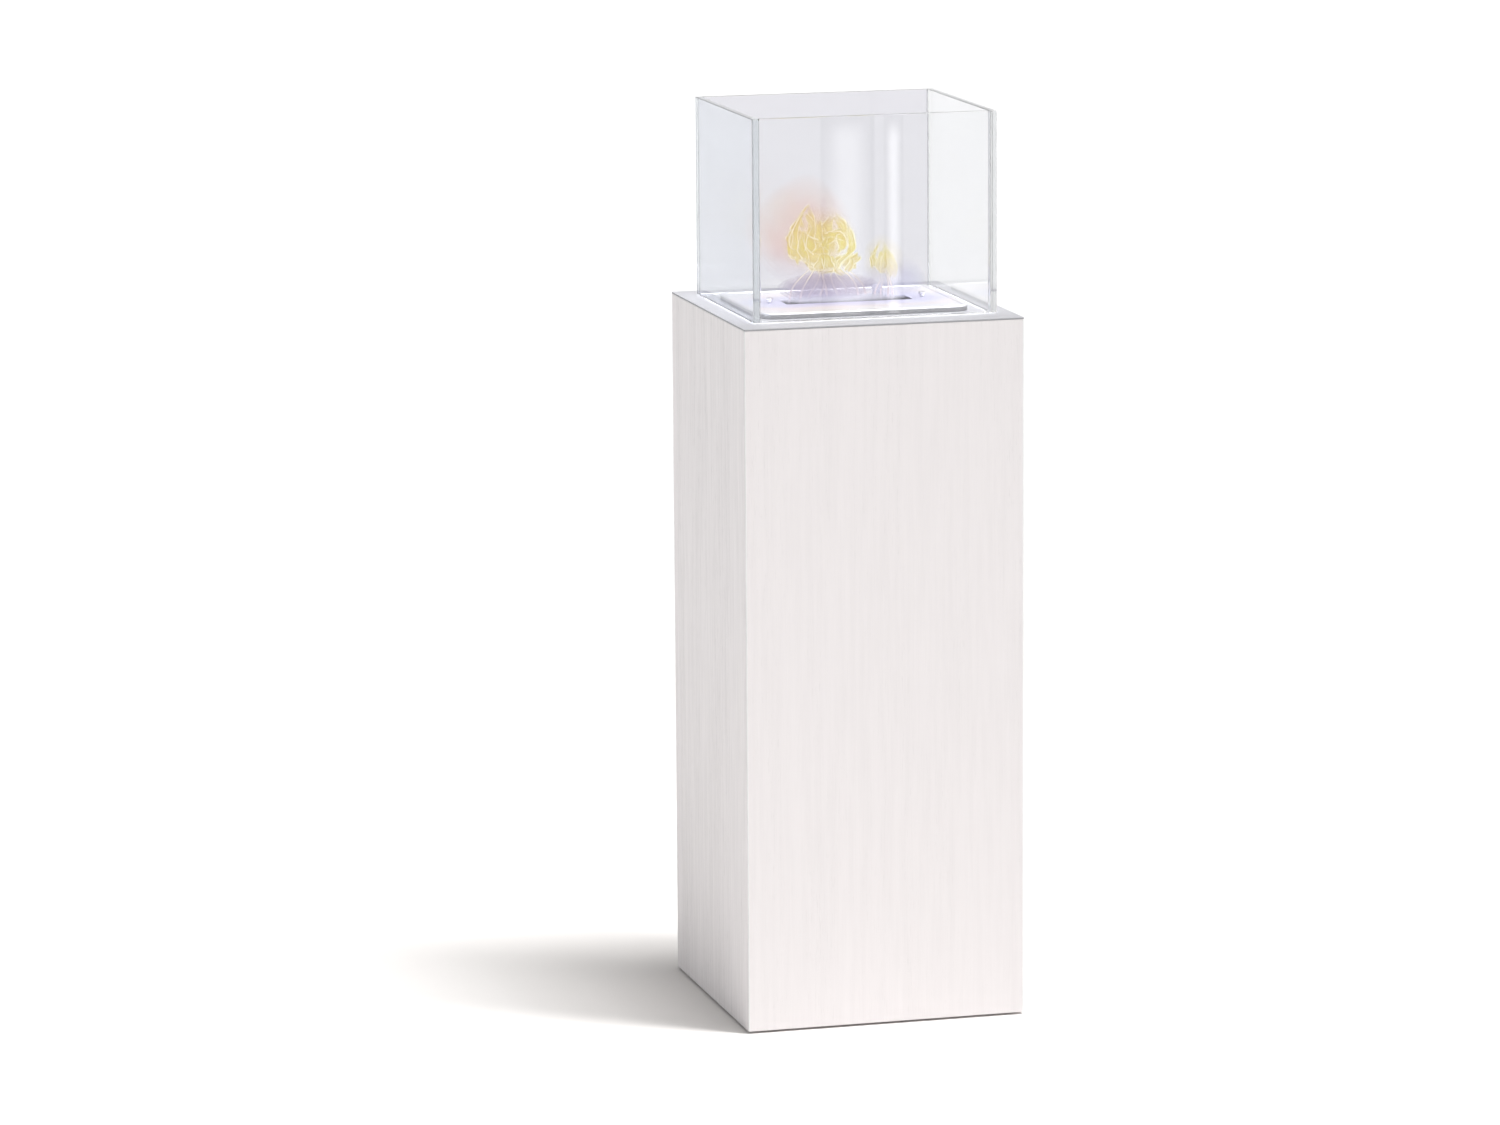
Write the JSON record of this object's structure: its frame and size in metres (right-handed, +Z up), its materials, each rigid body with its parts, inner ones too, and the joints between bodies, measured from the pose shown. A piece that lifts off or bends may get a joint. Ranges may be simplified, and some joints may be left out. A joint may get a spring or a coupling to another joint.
{
  "type": "column fireplace",
  "caption": "Free-standing square column fireplace: wood-grain plinth, drop-in ethanol burner with sliding damper, and an open-topped glass surround.",
  "frame": {"origin": "on the floor, under the middle of the plinth", "axes": "+Z up, the front face towards -Y, the burner's long side along X"},
  "size_m": [0.35, 0.35, 1.113],
  "materials": {
    "board": "satin",
    "timber": "matte",
    "painted_steel": "satin",
    "stainless": "satin",
    "zinced_steel": "satin",
    "galvanised": "matte",
    "glide": "matte",
    "fibre": "matte",
    "glass": "polished",
    "silicone": "satin"
  },
  "bodies": {
    "plinth": {"panel_front": "board", "panel_back": "board", "panel_left": "board", "panel_right": "board", "top_panel": "board", "bottom_panel": "board", "corner_batten_front_left": "timber", "corner_batten_front_right": "timber", "corner_batten_back_left": "timber", "corner_batten_back_right": "timber", "glide_front_left": "glide", "glide_front_right": "glide", "glide_back_left": "glide", "glide_back_right": "glide", "glide_screw_front_left": "zinced_steel", "glide_screw_front_right": "zinced_steel", "glide_screw_back_left": "zinced_steel", "glide_screw_back_right": "zinced_steel", "top_sheet": "painted_steel", "burner_well": "galvanised", "well_screw_front_left": "zinced_steel", "well_screw_front_right": "zinced_steel", "well_screw_back_left": "zinced_steel", "well_screw_back_right": "zinced_steel"},
    "burner": {"burner_plate": "stainless", "burner_tank": "stainless", "fibre_pad": "fibre", "burner_mesh": "stainless", "plate_spacer_front_left": "stainless", "plate_spacer_front_right": "stainless", "plate_spacer_back_left": "stainless", "plate_spacer_back_right": "stainless", "slide_rail_left": "stainless", "slide_rail_right": "stainless", "lift_knob_left": "stainless", "lift_knob_right": "stainless", "knob_screw_left": "zinced_steel", "knob_screw_right": "zinced_steel"},
    "damper": {"damper_slide": "stainless"},
    "glass_surround": {"glass_front": "glass", "glass_back": "glass", "glass_left": "glass", "glass_right": "glass", "corner_bond_front_left": "silicone", "corner_bond_front_right": "silicone", "corner_bond_back_left": "silicone", "corner_bond_back_right": "silicone", "glass_pad_front_left": "silicone", "glass_pad_front_right": "silicone", "glass_pad_back_left": "silicone", "glass_pad_back_right": "silicone"}
  },
  "joints": [
    {"name": "glass_lift", "type": "slide", "parent": "plinth", "child": "glass_surround", "axis": [0, 0, 1], "range_m": [0, 0.26]},
    {"name": "burner_lift", "type": "slide", "parent": "plinth", "child": "burner", "axis": [0, 0, 1], "range_m": [0, 0.32]},
    {"name": "damper_travel", "type": "slide", "parent": "burner", "child": "damper", "axis": [0, -1, 0], "range_m": [0, 0.0355]}
  ]
}
